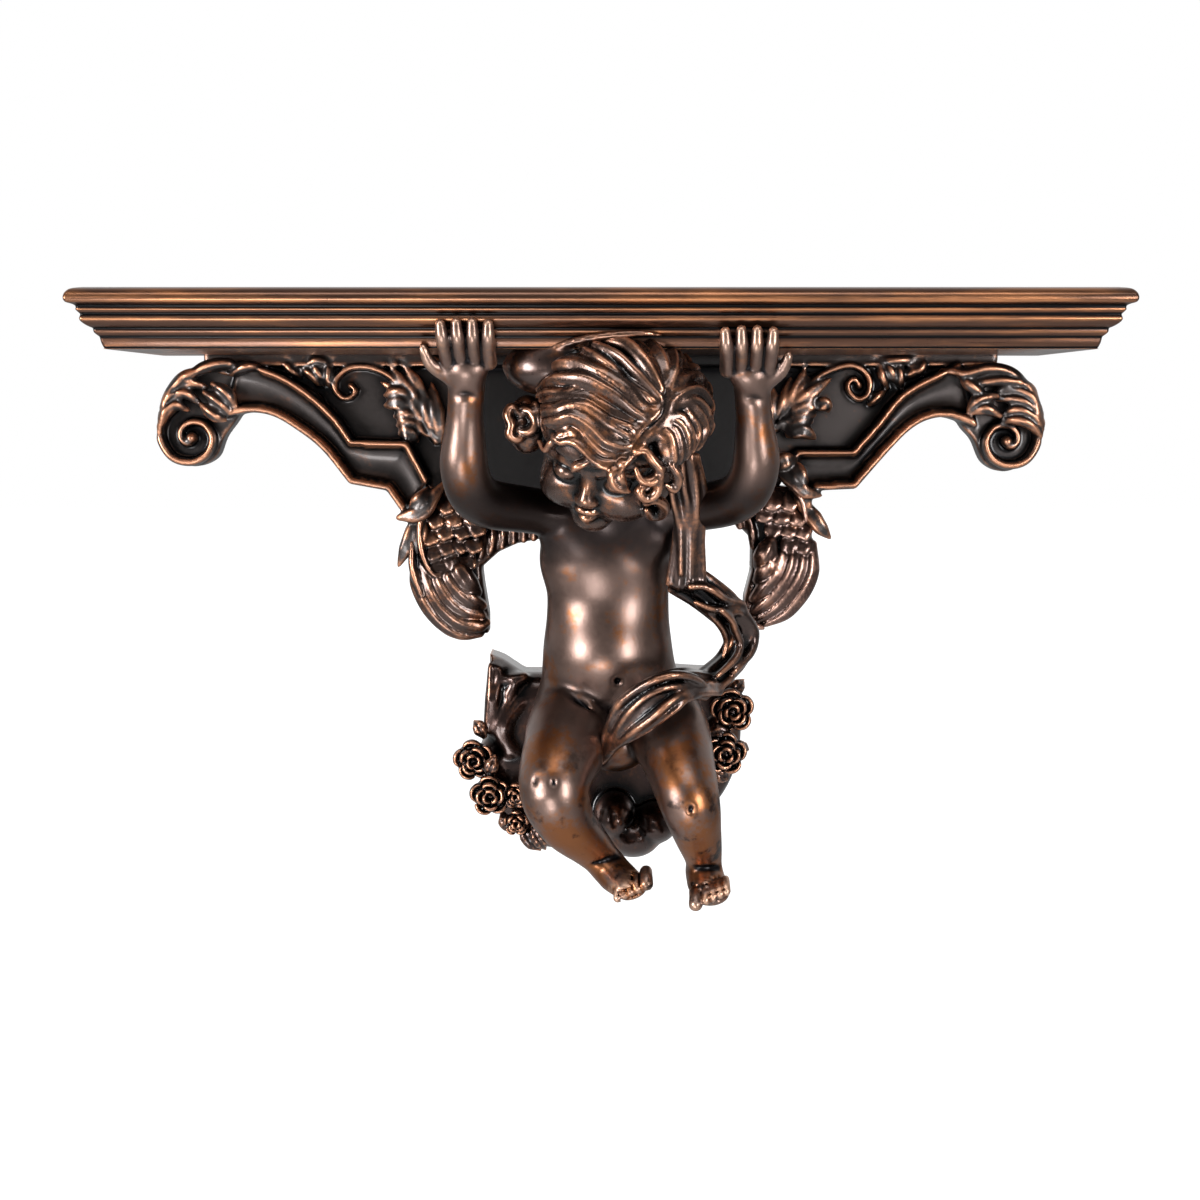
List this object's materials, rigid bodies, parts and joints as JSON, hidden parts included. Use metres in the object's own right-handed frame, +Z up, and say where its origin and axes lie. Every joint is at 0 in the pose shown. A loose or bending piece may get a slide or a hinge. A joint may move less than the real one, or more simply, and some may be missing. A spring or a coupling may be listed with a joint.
{
  "type": "carved wall shelf",
  "caption": "Wall shelf with a moulded board held up by a winged cherub between two scroll brackets.",
  "frame": {"origin": "on the wall plane, at the middle of the back face of the board", "axes": "+X to the viewer's right along the board, +Y into the wall, +Z up"},
  "size_m": [0.56, 0.1782, 0.347],
  "materials": {
    "dark_bronze": "cast resin, painted dark bronze, with copper rubbed along the moulding",
    "rubbed_bronze": "cast resin, painted dark bronze, with copper rubbed on the raised carving"
  },
  "bodies": {
    "root": {"shelf_board": "dark_bronze", "cherub_bracket": "rubbed_bronze"}
  },
  "joints": []
}
